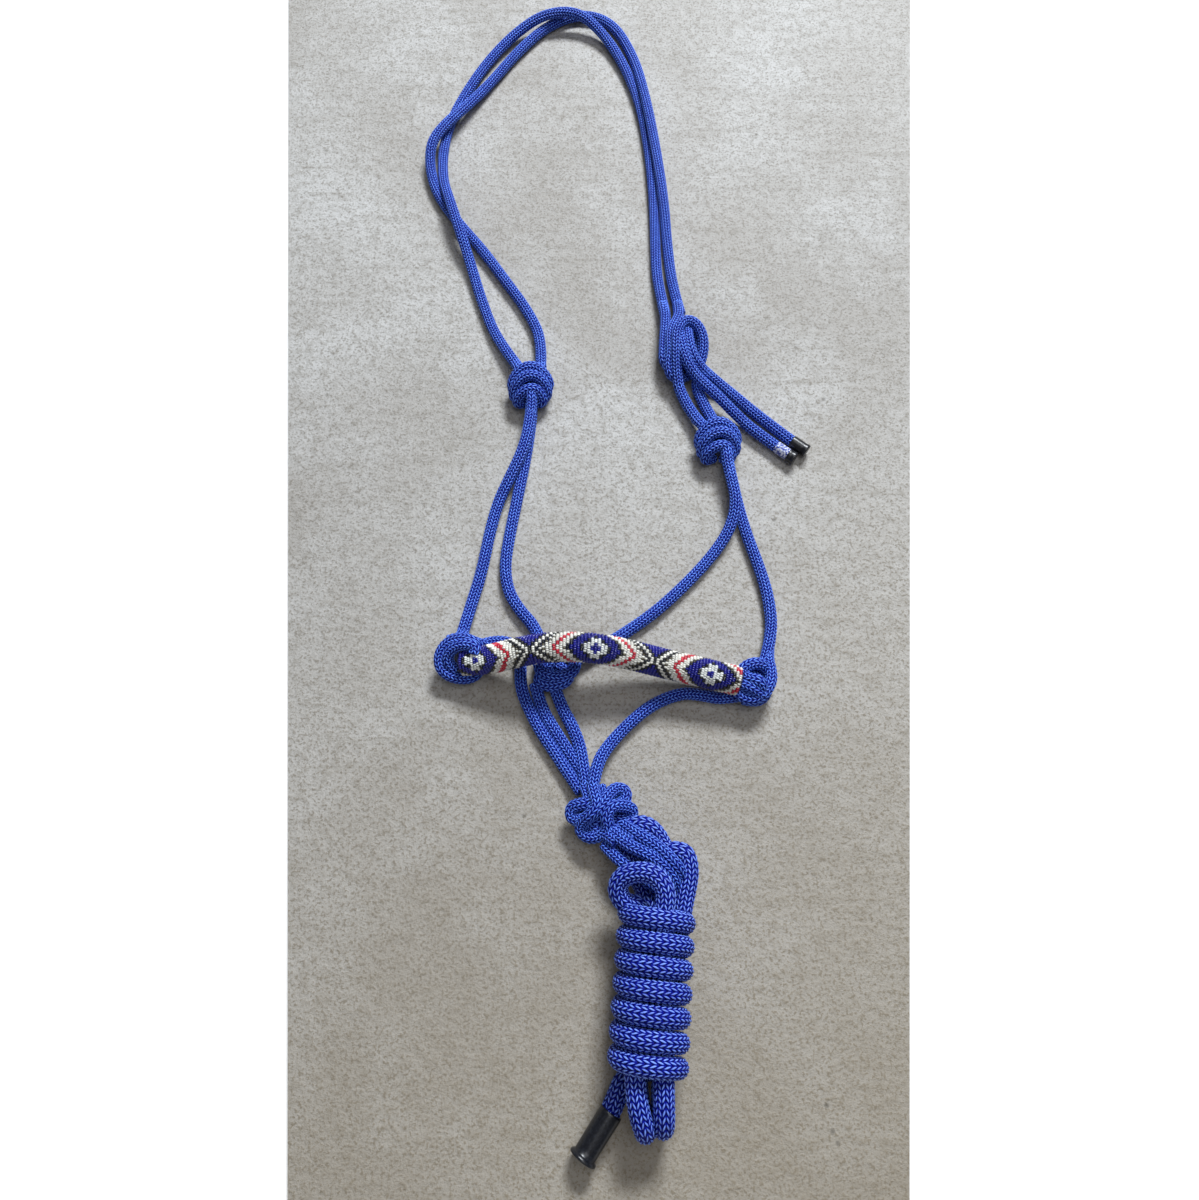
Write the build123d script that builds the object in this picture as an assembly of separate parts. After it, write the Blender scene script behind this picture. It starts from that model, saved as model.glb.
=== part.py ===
from build123d import *
import math
import os

# Rope halter with a beaded noseband and a hanked lead rope, lying flat as laid out on the ground.
# Millimetres. +X to the wearer's near side, +Y towards the crown, +Z up, the ground at Z = 0.
# The origin is under the centre of the halter's box, measured without the lead rope.

# Driving dimensions
HALTER_D = 8.0            # halter rope
LEAD_D = 12.0             # lead rope, pulled snug in its hank
BEAD_SIZE = 1.5           # a seed bead's height off the rope
SLEEVE_D = 2 * HALTER_D + 2 * BEAD_SIZE
SLEEVE_WALL = 1.3
PAIR_GAP = 0.15           # half the gap between the two noseband ropes
HANK_TURNS = 7
HANK_PITCH = 12.2
HANK_WIDTH = 46.0
HANK_HEIGHT = 44.0
HANK_ROUNDING = 15.0      # along the hank's four long edges
HANK_END_ROUNDING = 4.0   # round its two ends

# Knots: half their length along the hinge line, and their radius about it
CHEEK_KNOT_SIZE = (15.0, 12.0)
NOSE_KNOT_SIZE = (13.0, 11.0)
THROAT_KNOT_SIZE = (17.0, 8.5)
SHEET_BEND_SIZE = (27.0, 13.0)
SHEET_BEND_AXIS = (-0.28, 1, 0)
FIADOR_R = 17.0
FIADOR_HEIGHT = 24.0
FIADOR_ROUNDING = 11.0

# Caps on the ropes' ends
CAP_WALL = 0.5
CAP_PLAY = 0.1            # between a cap's pocket and its rope
CAP_POCKET = 0.6          # the pocket's depth, as a share of the cap's length
CAP_STRAIGHT = 0.72       # the straight part before the flare, as a share of the cap's length
CAP_LIP = 1.5             # the length of the rim at the closed end
TAIL_CAP_FLARE = 0.2
LEAD_CAP_FLARE = 1.7

# Knot centres and the hinge lines through them
CHEEK_KNOT_LEFT = (-54, -13, 12)
CHEEK_KNOT_RIGHT = (76, -57, 12)
NOSE_KNOT_LEFT = (-96, -210, 11)
NOSE_KNOT_RIGHT = (90, -227, 11)
THROAT_KNOT = (-36, -215.5, 11)
FIADOR_KNOT = (-5, -307, 12)
SHEET_BEND = (54, 12, 13)

# Routes of the ropes: centreline points
CROWN_OUTER = [
    (-63, 2, 9), (-80, 28, 4), (-92, 60, 4), (-103, 97, 5), (-110, 117, 13), (-120, 148, 13), (-127, 172, 6),
    (-129, 200, 4), (-126, 226, 4), (-116, 256, 4), (-98, 294, 4), (-76, 323, 6), (-51, 337, 13), (-23, 339, 13),
    (-3, 323, 6), (13, 294, 4), (26, 254, 4), (33, 205, 4), (36, 154, 4), (36, 108, 4), (37, 77, 4), (42, 48, 8),
]
CROWN_INNER = [
    (-48, 0, 8), (-47, 27, 4), (-58, 53, 4), (-77, 82, 4), (-94, 108, 4), (-113, 132, 4), (-131, 159, 4),
    (-138, 184, 6), (-137, 202, 13), (-126, 221, 13), (-111, 244, 8), (-94, 272, 4), (-75, 303, 4), (-51, 333, 4),
    (-23, 348, 4), (5, 338, 4), (22.5, 297, 6), (31, 248, 11), (38, 196, 11), (43, 149, 10), (45, 112, 4),
    (48, 74, 4), (53, 48, 8),
]
TIE_LOOP_LEFT = [(50, -13, 9), (55, -27, 5), (64, -42, 9)]
TIE_LOOP_RIGHT = [(63, -13, 7), (68, -26, 4), (74, -42, 9)]
TAIL_UPPER = [(66, 0, 12), (77, -7, 6), (89, -17, 4), (107, -35, 4), (131.4, -57.3, 5.2)]
TAIL_LOWER = [(64, -9, 12), (75, -20, 12), (87, -32, 8), (102, -46, 4), (126.2, -66, 5.2)]
CHEEK_LEFT = [
    (-53, -23, 12), (-54, -43, 12.5), (-58, -64, 12.5), (-67, -84, 9), (-75, -100, 4), (-80, -124, 4),
    (-84, -151, 4), (-90, -174, 4), (-95, -199, 9),
]
THROAT_LEFT = [
    (-53, -23, 5), (-54, -42, 4), (-57, -67, 4), (-61, -92, 4), (-66, -122, 4), (-69, -146, 4), (-66, -164, 4),
    (-58, -177, 4), (-47, -189, 4), (-40, -208, 7),
]
CHEEK_RIGHT = [
    (81, -66, 7), (85, -83, 4), (88, -103, 4), (93, -125, 4), (100, -147, 4), (105, -169, 4), (106, -193, 4),
    (98, -216, 9),
]
THROAT_RIGHT = [
    (80, -66, 14), (83, -85, 12.5), (86, -103, 12.5), (82, -120, 7), (70, -138, 4), (52, -158, 4), (31, -178, 4),
    (10, -193, 4), (-8, -204, 4), (-24, -213, 7),
]
CHIN_LEAD_IN_LEFT = [(-88, -204, 7), (-79, -199, 4), (-67, -198, 4), (-59, -202, 4), (-57, -212, 4)]
CHIN_LEFT = [(-56, -217, 4), (-56, -229, 4), (-50, -243, 4), (-43, -256, 4), (-34, -269, 4), (-26, -281, 4),
             (-17, -294, 7)]
THROAT_DROP_LEFT = [(-47, -226, 5), (-43, -241, 4), (-34, -256, 4), (-25.5, -269, 4), (-17, -281, 4), (-8, -294, 7)]
THROAT_DROP_RIGHT = [(-35, -227, 5), (-30, -241, 4), (-23, -253, 4), (-16, -266, 5), (-13, -279, 11), (-10, -293, 15)]
CHIN_LEAD_IN_RIGHT = [(83, -234, 6), (71, -236, 4), (58, -233, 4), (45, -232, 4)]
CHIN_RIGHT = [(41, -232.5, 4), (26, -240, 4), (11, -253, 4), (0, -265, 6), (-4, -279, 12), (-2, -293, 14)]
NOSEBAND = [
    (-93, -213, 12), (-78, -214, 15), (-58, -211, 24), (-38, -209, 30), (-12, -209, 30), (12, -212, 24),
    (36, -217, 18), (60, -222, 16), (82, -227, 14),
]
LEAD_LOOP_UPPER = [
    (11, -318.5, 15), (17, -323, 24), (27, -330, 25.5), (42, -341, 25.5), (42, -342, 4), (29, -335, 4),
    (16, -327, 4), (9, -320, 7),
]
LEAD_LOOP_LOWER = [
    (2, -325, 15), (10, -331, 23), (19, -337.5, 25.5), (29, -344.5, 25.5), (28.5, -345.5, 4), (18, -342, 4),
    (5, -337, 4), (-3, -326, 7),
]
LEAD_EYE = [
    (46, -365, 13), (51, -350, 14), (51, -333, 14.8), (37, -317, 14.8), (20, -318, 14.8), (12, -332, 14.8),
    (1, -344, 14), (4, -356, 12), (8, -365, 11),
]
LEAD_CURL = [(10.5, -365, 24), (10.5, -343, 29), (29.5, -343, 36), (29.5, -365, 34)]
LEAD_BIGHT = [(14.5, -445, 30), (14.5, -472, 27), (14.5, -472, 6.5), (14.5, -445, 14)]
BIGHT_SPACING = 13.0
LEAD_TAIL = [(7, -445, 9), (5, -458, 6.5), (-2, -470, 7.5)]

# Caps: where each starts, the way it points and its length
TAIL_CAP_UPPER = ((127.5, -54.2, 5.2), (1, -0.78, 0), 13.0)
TAIL_CAP_LOWER = ((124.2, -64.5, 5.2), (1, -0.73, 0), 6.0)
LEAD_CAP = ((0.5, -466, 8.2), (-0.571, -0.82, 0), 28.0)

HANK_START = (26.5, -362.5)
HANK_LEAN = 4.7           # degrees that the hank leans from the Y axis


def corner_radii(points):
    """The largest radius that the two runs beside each corner leave room for."""
    radii = []
    for before, corner, after in zip(points, points[1:], points[2:]):
        run_in = Vector(*corner) - Vector(*before)
        run_out = Vector(*after) - Vector(*corner)
        turn = math.radians(run_in.get_angle(run_out))
        radii.append(0.45 * min(run_in.length, run_out.length) / math.tan(turn / 2))
    return radii


def rope(points, diameter=HALTER_D, bore=0.0):
    """A round rope along straight runs joined by tangent arcs."""
    path = FilletPolyline(*points, radius=corner_radii(points))
    start = Plane(origin=path @ 0, z_dir=path % 0)
    section = Circle(diameter / 2)
    if bore:
        section -= Circle(bore / 2)
    return sweep(start * section, path=path)


def spheroid(centre, axis, half_length, radius):
    """A knot's outer shape: a body of revolution about its hinge line."""
    half = Ellipse(half_length, radius) & Pos(0, radius) * Rectangle(2 * half_length, 2 * radius)
    body = revolve(half, Axis.X)
    return Plane(origin=centre, x_dir=axis, z_dir=(0, 0, 1)) * body


def between(start, end):
    """The direction from one place to another."""
    return tuple(b - a for a, b in zip(start, end))


def offset_route(points, sideways):
    """A route moved sideways in the ground plane, square to its own direction."""
    moved = []
    for index, point in enumerate(points):
        before = points[max(index - 1, 0)]
        after = points[min(index + 1, len(points) - 1)]
        along = Vector(after[0] - before[0], after[1] - before[1], 0).normalized()
        moved.append((point[0] - along.Y * sideways, point[1] + along.X * sideways, point[2]))
    return moved


def cheek_knot(centre):
    return spheroid(centre, between(CHEEK_KNOT_LEFT, CHEEK_KNOT_RIGHT), *CHEEK_KNOT_SIZE)


def nose_knot(centre):
    return spheroid(centre, between(NOSE_KNOT_LEFT, NOSE_KNOT_RIGHT), *NOSE_KNOT_SIZE)


def throat_knot():
    return spheroid(THROAT_KNOT, between(NOSE_KNOT_LEFT, NOSE_KNOT_RIGHT), *THROAT_KNOT_SIZE)


def fiador_knot():
    puck = Cylinder(FIADOR_R, FIADOR_HEIGHT)
    return Pos(*FIADOR_KNOT) * fillet(puck.edges().filter_by(GeomType.CIRCLE), FIADOR_ROUNDING)


def sheet_bend():
    return spheroid(SHEET_BEND, SHEET_BEND_AXIS, *SHEET_BEND_SIZE)


def end_cap(start, direction, length, rope_d, flare):
    """A moulded cup over a rope's end, flared at its closed end."""
    outer = rope_d / 2 + CAP_WALL
    lip = outer + flare
    profile = Polyline(
        (0, 0), (0, outer), (CAP_STRAIGHT * length, outer), (length - CAP_LIP, lip), (length, lip), (length, 0),
        close=True,
    )
    body = revolve(make_face(profile), Axis.X)
    depth = CAP_POCKET * length
    pocket = Pos(depth / 2, 0, 0) * Cylinder(rope_d / 2 + CAP_PLAY, depth, rotation=(0, 90, 0))
    return Plane(origin=start, x_dir=direction, z_dir=(0, 0, 1)) * (body - pocket)


def lead_hank():
    """The outer shape of the turns: a rounded box along the hank."""
    length = HANK_TURNS * HANK_PITCH
    block = Box(HANK_WIDTH, length, HANK_HEIGHT)
    block = fillet(block.edges().filter_by(Axis.Y), HANK_ROUNDING)
    ends = block.edges().group_by(Axis.Y)
    block = fillet(ends[0] + ends[-1], HANK_END_ROUNDING)
    place = Pos(*HANK_START, HANK_HEIGHT / 2) * Rot(0, 0, -HANK_LEAN)
    return place * Pos(0, -length / 2, 0) * block


def lead_bights():
    """Two bends of the lead standing on edge below the hank."""
    bight = rope(LEAD_BIGHT, LEAD_D)
    return [bight, Pos(BIGHT_SPACING, 0, 0) * bight]


def parts():
    """Every node's name with its shape."""
    noseband_side = HALTER_D / 2 + PAIR_GAP
    return {
        "crown_strand_outer": rope(CROWN_OUTER),
        "crown_strand_inner": rope(CROWN_INNER),
        "sheet_bend_knot": sheet_bend(),
        "tie_loop_left": rope(TIE_LOOP_LEFT),
        "tie_loop_right": rope(TIE_LOOP_RIGHT),
        "tail_upper": rope(TAIL_UPPER),
        "tail_lower": rope(TAIL_LOWER),
        "tail_cap_upper": end_cap(*TAIL_CAP_UPPER, HALTER_D, TAIL_CAP_FLARE),
        "tail_cap_lower": end_cap(*TAIL_CAP_LOWER, HALTER_D, TAIL_CAP_FLARE),
        "cheek_knot_left": cheek_knot(CHEEK_KNOT_LEFT),
        "cheek_knot_right": cheek_knot(CHEEK_KNOT_RIGHT),
        "cheek_strand_left": rope(CHEEK_LEFT),
        "cheek_strand_right": rope(CHEEK_RIGHT),
        "throat_strand_left": rope(THROAT_LEFT),
        "throat_strand_right": rope(THROAT_RIGHT),
        "throat_knot": throat_knot(),
        "nose_knot_left": nose_knot(NOSE_KNOT_LEFT),
        "nose_knot_right": nose_knot(NOSE_KNOT_RIGHT),
        "noseband_rope_front": rope(offset_route(NOSEBAND, -noseband_side)),
        "noseband_rope_rear": rope(offset_route(NOSEBAND, noseband_side)),
        "bead_sleeve": rope(NOSEBAND, SLEEVE_D, SLEEVE_D - 2 * SLEEVE_WALL),
        "chin_lead_in_left": rope(CHIN_LEAD_IN_LEFT),
        "chin_lead_in_right": rope(CHIN_LEAD_IN_RIGHT),
        "chin_strand_left": rope(CHIN_LEFT),
        "chin_strand_right": rope(CHIN_RIGHT),
        "throat_drop_left": rope(THROAT_DROP_LEFT),
        "throat_drop_right": rope(THROAT_DROP_RIGHT),
        "fiador_knot": fiador_knot(),
        "lead_loop_upper": rope(LEAD_LOOP_UPPER),
        "lead_loop_lower": rope(LEAD_LOOP_LOWER),
        "lead_eye": rope(LEAD_EYE, LEAD_D),
        "lead_curl": rope(LEAD_CURL, LEAD_D),
        "lead_hank": lead_hank(),
        "lead_bights": lead_bights(),
        "lead_tail": rope(LEAD_TAIL, LEAD_D),
        "lead_cap": end_cap(*LEAD_CAP, LEAD_D, LEAD_CAP_FLARE),
    }


ROUTES = {
    "crown_strand_outer": CROWN_OUTER,
    "crown_strand_inner": CROWN_INNER,
    "cheek_strand_left": CHEEK_LEFT,
    "cheek_strand_right": CHEEK_RIGHT,
    "throat_strand_left": THROAT_LEFT,
    "throat_strand_right": THROAT_RIGHT,
    "chin_lead_in_left": CHIN_LEAD_IN_LEFT,
    "chin_lead_in_right": CHIN_LEAD_IN_RIGHT,
    "chin_strand_left": CHIN_LEFT,
    "chin_strand_right": CHIN_RIGHT,
    "throat_drop_left": THROAT_DROP_LEFT,
    "throat_drop_right": THROAT_DROP_RIGHT,
    "tail_upper": TAIL_UPPER,
    "tail_lower": TAIL_LOWER,
    "tie_loop_left": TIE_LOOP_LEFT,
    "tie_loop_right": TIE_LOOP_RIGHT,
    "lead_loop_upper": LEAD_LOOP_UPPER,
    "lead_loop_lower": LEAD_LOOP_LOWER,
    "lead_eye": LEAD_EYE,
    "lead_tail": LEAD_TAIL,
}


def print_checks(shapes):
    """Each rope's bend radii, and its volume over its section times its length."""
    for name, points in ROUTES.items():
        radii = corner_radii(points)
        length = FilletPolyline(*points, radius=radii).length
        diameter = LEAD_D if name in ("lead_eye", "lead_tail") else HALTER_D
        share = shapes[name].volume / (math.pi * diameter**2 / 4 * length)
        print(f"{name}: {length:.0f} mm, volume share {share:.4f}, radii", [round(r) for r in radii])


def main():
    os.makedirs("parts", exist_ok=True)
    shapes = parts()
    print_checks(shapes)
    for name, shape in shapes.items():
        if isinstance(shape, list):
            shape = Compound(children=shape)
        export_step(shape, f"parts/{name}.step")


main()
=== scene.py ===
import math

import bpy
import numpy as np
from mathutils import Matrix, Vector


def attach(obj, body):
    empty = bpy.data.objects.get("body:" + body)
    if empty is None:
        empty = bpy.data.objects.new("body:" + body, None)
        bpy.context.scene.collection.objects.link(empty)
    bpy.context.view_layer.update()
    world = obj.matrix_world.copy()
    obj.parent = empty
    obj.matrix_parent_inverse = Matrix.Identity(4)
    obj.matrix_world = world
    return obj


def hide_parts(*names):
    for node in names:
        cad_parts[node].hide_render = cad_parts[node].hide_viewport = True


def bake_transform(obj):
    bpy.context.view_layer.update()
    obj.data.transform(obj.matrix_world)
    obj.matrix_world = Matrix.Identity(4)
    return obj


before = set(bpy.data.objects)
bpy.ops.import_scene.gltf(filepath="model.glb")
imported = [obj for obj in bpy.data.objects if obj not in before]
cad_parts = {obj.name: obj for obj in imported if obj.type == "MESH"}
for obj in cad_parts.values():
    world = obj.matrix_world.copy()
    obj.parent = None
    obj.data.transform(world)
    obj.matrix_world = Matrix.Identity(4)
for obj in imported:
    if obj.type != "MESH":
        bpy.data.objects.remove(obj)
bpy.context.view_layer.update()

MM = 0.001
HALTER_D = 0.008
LEAD_D = 0.012
BAND_D = 0.019

# Hinge line through the cheek knots, and the in-plane direction square to it
CHEEK_L = (-54, -13, 12)
CHEEK_R = (76, -57, 12)
NOSE_L = (-96, -210, 11)
NOSE_R = (90, -227, 11)
THROAT = (-36, -215.5, 11)
FIADOR = (-5, -307, 12)
BEND = (54, 12, 13)

CROWN_OUTER = [
    (-63, 2, 9), (-80, 28, 4), (-92, 60, 4), (-103, 97, 5), (-110, 117, 13), (-120, 148, 13),
    (-127, 172, 6), (-129, 200, 4), (-126, 226, 4), (-116, 256, 4), (-98, 294, 4), (-76, 323, 6),
    (-51, 337, 13), (-23, 339, 13), (-3, 323, 6), (13, 294, 4), (26, 254, 4), (33, 205, 4), (36, 154, 4),
    (36, 108, 4), (37, 77, 4), (42, 48, 8),
]
CROWN_INNER = [
    (-48, 0, 8), (-47, 27, 4), (-58, 53, 4), (-77, 82, 4), (-94, 108, 4), (-113, 132, 4), (-131, 159, 4),
    (-138, 184, 6), (-137, 202, 13), (-126, 221, 13), (-111, 244, 8), (-94, 272, 4), (-75, 303, 4),
    (-51, 333, 4), (-23, 348, 4), (5, 338, 4), (22.5, 297, 6), (31, 248, 11), (38, 196, 11), (43, 149, 10),
    (45, 112, 4), (48, 74, 4), (53, 48, 8),
]
TIE_LOOP_LEFT = [(50, -13, 9), (55, -27, 5), (64, -42, 9)]
TIE_LOOP_RIGHT = [(63, -13, 7), (68, -26, 4), (74, -42, 9)]
TAIL_UPPER = [(66, 0, 12), (77, -7, 6), (89, -17, 4), (107, -35, 4), (131.4, -57.3, 5.2)]
TAIL_LOWER = [(64, -9, 12), (75, -20, 12), (87, -32, 8), (102, -46, 4), (126.2, -66, 5.2)]
CHEEK_LEFT = [
    (-53, -23, 12), (-54, -43, 12.5), (-58, -64, 12.5), (-67, -84, 9), (-75, -100, 4), (-80, -124, 4),
    (-84, -151, 4), (-90, -174, 4), (-95, -199, 9),
]
THROAT_LEFT = [
    (-53, -23, 5), (-54, -42, 4), (-57, -67, 4), (-61, -92, 4), (-66, -122, 4), (-69, -146, 4),
    (-66, -164, 4), (-58, -177, 4), (-47, -189, 4), (-40, -208, 7),
]
CHEEK_RIGHT = [
    (81, -66, 7), (85, -83, 4), (88, -103, 4), (93, -125, 4), (100, -147, 4), (105, -169, 4),
    (106, -193, 4), (98, -216, 9),
]
THROAT_RIGHT = [
    (80, -66, 14), (83, -85, 12.5), (86, -103, 12.5), (82, -120, 7), (70, -138, 4), (52, -158, 4),
    (31, -178, 4), (10, -193, 4), (-8, -204, 4), (-24, -213, 7),
]
CHIN_LEFT = [
    (-88, -204, 7), (-79, -199, 4), (-67, -198, 4), (-59, -202, 4), (-56.5, -213, 4), (-56, -229, 4),
    (-50, -243, 4), (-43, -256, 4), (-34, -269, 4), (-26, -281, 4), (-17, -294, 7),
]
CHIN_RIGHT = [
    (83, -234, 6), (71, -236, 4), (58, -233, 4), (45, -232, 4), (26, -240, 4), (11, -253, 4), (0, -265, 6),
    (-8, -278, 12), (-10, -292, 15),
]
THROAT_DROP_LEFT = [(-47, -226, 5), (-43, -241, 4), (-34, -256, 4), (-25.5, -269, 4), (-17, -281, 4),
    (-8, -294, 7)]
THROAT_DROP_RIGHT = [(-35, -227, 5), (-30, -241, 4), (-23, -253, 4), (-18, -266, 4), (-16, -279, 7),
    (-14, -293, 9)]
NOSEBAND = [
    (-93, -213, 12), (-78, -214, 15), (-58, -211, 24), (-38, -209, 30), (-12, -209, 30), (12, -212, 24),
    (36, -217, 18), (60, -222, 16), (82, -227, 14),
]
LEAD_LOOP_UPPER = [
    (8, -314, 17), (16, -320, 23.5), (28, -327, 25.5), (38, -337, 25), (42, -343, 18), (40, -345, 8),
    (30, -338, 4), (18, -329, 4), (9, -320, 7),
]
LEAD_LOOP_LOWER = [
    (1, -318, 16), (10, -326, 23.5), (23.5, -332, 26), (34, -340, 24), (38, -346.5, 19.5), (36.5, -351, 15),
    (30, -351, 15.5), (22, -346, 19), (12, -339, 20), (4, -333, 18), (-3, -325, 12),
]
LEAD_BEFORE_TURNS = [
    (13, -395, 12), (20, -375, 11), (22.5, -360, 10), (20, -349, 9), (13, -339, 9), (9, -329, 11),
    (10, -319, 14), (15.5, -314, 16), (22.5, -315, 17), (28, -320, 15), (31, -326, 14.5), (34, -330, 15),
    (39, -329, 17), (45, -331, 17), (46.5, -342, 16), (43, -356, 15), (40, -370, 15), (37, -388, 13),
    (31, -415, 13), (28, -445, 14), (28, -472, 6.5), (28, -472, 27), (28, -445, 30), (29, -415, 29),
    (29, -385, 31), (29.8, -363, 34), (31.5, -351, 36), (25, -342.5, 36), (15, -341, 34), (6.5, -344, 31),
    (3.5, -351, 28), (8, -358.5, 25), (16, -359, 22), (20, -367, 21), (16, -388, 27), (13, -415, 29),
    (12.5, -447, 29), (14.5, -462, 29), (18.5, -474, 24), (18.5, -474, 8), (15, -457, 6.2),
    (14.5, -445, 12), (16, -415, 13), (19, -385, 13), (22, -370, 16),
]
LEAD_AFTER_TURNS = [(15, -447, 6.3), (7, -451, 6.3), (3.5, -459.5, 6.6), (-2, -470, 7.5)]
TURNS = 7
TURN_PITCH = 12.2
TURN_HALF_WIDTH = 17.0
TURN_HALF_HEIGHT = 16.0
TURN_LIFT = 22.0
TURN_START = (26.5, -362.5)
TURN_LEAN = math.tan(math.radians(4.7))
TURN_POINTS = 8           # control points in each turn
TURN_WIDEN = 1.06         # the smooth line cuts inside its control points by this much
TURN_FIRST_ANGLE = 200    # degrees round the hank's axis, where the first turn starts


# ---------------------------------------------------------------- lines

def metres(points, centre=(0, 0, 0)):
    """Points in millimetres, moved to centre in x and y, as metres."""
    return [((x + centre[0]) * MM, (y + centre[1]) * MM, z * MM) for x, y, z in points]


def nurbs_line(points, resolution=24):
    """The points of a smooth NURBS through the given control points."""
    curve = bpy.data.curves.new("line", "CURVE")
    curve.dimensions = "3D"
    curve.resolution_u = resolution
    spline = curve.splines.new("NURBS")
    spline.points.add(len(points) - 1)
    for target, point in zip(spline.points, points):
        target.co = (point[0], point[1], point[2], 1.0)
    spline.order_u = 3
    spline.use_endpoint_u = True
    holder = bpy.data.objects.new("line", curve)
    mesh = bpy.data.meshes.new_from_object(holder)
    line = np.array([v.co for v in mesh.vertices], float).reshape(-1, 3)
    bpy.data.objects.remove(holder)
    bpy.data.curves.remove(curve)
    bpy.data.meshes.remove(mesh)
    return line


def length_of(line):
    return float(np.linalg.norm(np.diff(line, axis=0), axis=1).sum())


def even_line(line, step):
    """The same line with points an even step apart, and the length along it at each."""
    runs = np.linalg.norm(np.diff(line, axis=0), axis=1)
    keep = np.concatenate([[True], runs > 1e-9])
    line = line[keep]
    along = np.concatenate([[0], np.cumsum(np.linalg.norm(np.diff(line, axis=0), axis=1))])
    count = max(int(round(along[-1] / step)), 4)
    at = np.linspace(0, along[-1], count + 1)
    return np.stack([np.interp(at, along, line[:, k]) for k in range(3)], 1), at


def frames_along(line, first=(0, 0, 1)):
    """Unit tangents and a pair of normals carried along the line without twist."""
    tangents = np.gradient(line, axis=0)
    tangents /= np.linalg.norm(tangents, axis=1)[:, None]
    normals = np.zeros_like(line)
    normal = np.array(first, float)
    for i, tangent in enumerate(tangents):
        normal = normal - tangent * (normal @ tangent)
        if np.linalg.norm(normal) < 1e-6:
            normal = np.cross(tangent, (1, 0, 0))
        normal = normal / np.linalg.norm(normal)
        normals[i] = normal
    return tangents, normals, np.cross(tangents, normals)


# ---------------------------------------------------------------- meshes

def grid_mesh(name, rings, uv_u, uv_v, closed_ends=True):
    """A closed tube from rings of points, with a UV map that runs round and along."""
    count, sides = rings.shape[:2]
    verts = rings.reshape(-1, 3)
    i, j = np.meshgrid(np.arange(count - 1), np.arange(sides), indexing="ij")
    k = (j + 1) % sides
    quads = np.stack([i * sides + j, i * sides + k, (i + 1) * sides + k, (i + 1) * sides + j],
        -1).reshape(-1, 4)
    uv = np.stack([
        np.stack([uv_u[j], uv_v[i]], -1),
        np.stack([uv_u[j + 1], uv_v[i]], -1),
        np.stack([uv_u[j + 1], uv_v[i + 1]], -1),
        np.stack([uv_u[j], uv_v[i + 1]], -1),
    ], 2).reshape(-1, 2)
    faces = [tuple(q) for q in quads.tolist()]
    if closed_ends:
        tips = np.stack([rings[0].mean(0), rings[-1].mean(0)])
        verts = np.concatenate([verts, tips])
        first, last = len(verts) - 2, len(verts) - 1
        base = (count - 1) * sides
        extra = []
        for s in range(sides):
            n = (s + 1) % sides
            faces.append((first, n, s))
            extra += [(uv_u[s], uv_v[0])] * 3
            faces.append((last, base + s, base + n))
            extra += [(uv_u[s], uv_v[-1])] * 3
        uv = np.concatenate([uv, np.array(extra)])
    mesh = bpy.data.meshes.new(name)
    mesh.from_pydata(verts.tolist(), [], faces)
    layer = mesh.uv_layers.new(name="UVMap")
    layer.data.foreach_set("uv", uv.astype(np.float32).ravel())
    mesh.polygons.foreach_set("use_smooth", [True] * len(mesh.polygons))
    mesh.update()
    return mesh


def add_object(name, mesh, *materials):
    obj = bpy.data.objects.new(name, mesh)
    bpy.context.scene.collection.objects.link(obj)
    for material in materials:
        obj.data.materials.append(material)
    return obj


SLANT = 1.0


def braid_height(u, v):
    """Relief of a herringbone braid: 1 on the crown of a yarn, 0 in the gaps.

    u counts columns, v counts yarns.
    """
    column = np.floor(u)
    x = u - column - 0.5
    sign = 1 - 2 * np.mod(column, 2)
    y = v + sign * SLANT * x
    y = y - np.floor(y)
    across = np.clip(1 - (2 * np.abs(x)) ** 2.5, 0, 1)
    lengthways = np.sin(np.pi * y) ** 0.8
    return lengthways * (0.35 + 0.65 * across)


def rope_object(name, points, diameter, material, pitch, relief, columns=16, sides=60, step=0.00055,
        twist=0.0):
    """A braided rope along the NURBS line of the points. Returns the object and its centreline."""
    line = nurbs_line(points)
    centre, along = even_line(line, step)
    tangents, normals, sideways = frames_along(centre)
    turn = np.arange(sides) / sides
    angle = 2 * np.pi * turn
    u = np.arange(sides + 1) / sides * columns
    v = along / pitch
    uu, vv = np.meshgrid(u[:-1] + 0.0, v)
    height = braid_height(uu, vv)
    radius = diameter / 2 - relief * (1 - height)
    ends = np.minimum(1, np.minimum(along, along[-1] - along) / (diameter * 0.06))
    radius = radius * (0.93 + 0.07 * ends)[:, None]
    spun = angle[None, :] + twist * along[:, None]
    rings = (centre[:, None, :] + radius[:, :, None] * (
        np.cos(spun)[:, :, None] * normals[:, None, :] + np.sin(spun)[:, :, None] * sideways[:, None, :]))
    mesh = grid_mesh(name, rings, u, v)
    return add_object(name, mesh, material), centre, length_of(line)


def lathe_object(name, origin, direction, profile, material, sides=96):
    """A turned piece: profile is (distance along the axis, radius) in metres."""
    axis = np.array(direction, float)
    axis /= np.linalg.norm(axis)
    side = np.cross(axis, (0, 0, 1.0))
    side /= np.linalg.norm(side)
    up = np.cross(side, axis)
    angle = 2 * np.pi * np.arange(sides) / sides
    spokes = np.cos(angle)[:, None] * up + np.sin(angle)[:, None] * side
    rings = np.array([np.array(origin) + axis * a + spokes * r for a, r in profile])
    u = np.arange(sides + 1) / sides
    v = np.linspace(0, 1, len(profile))
    return add_object(name, grid_mesh(name, rings, u, v), material)


# ---------------------------------------------------------------- materials

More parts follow.
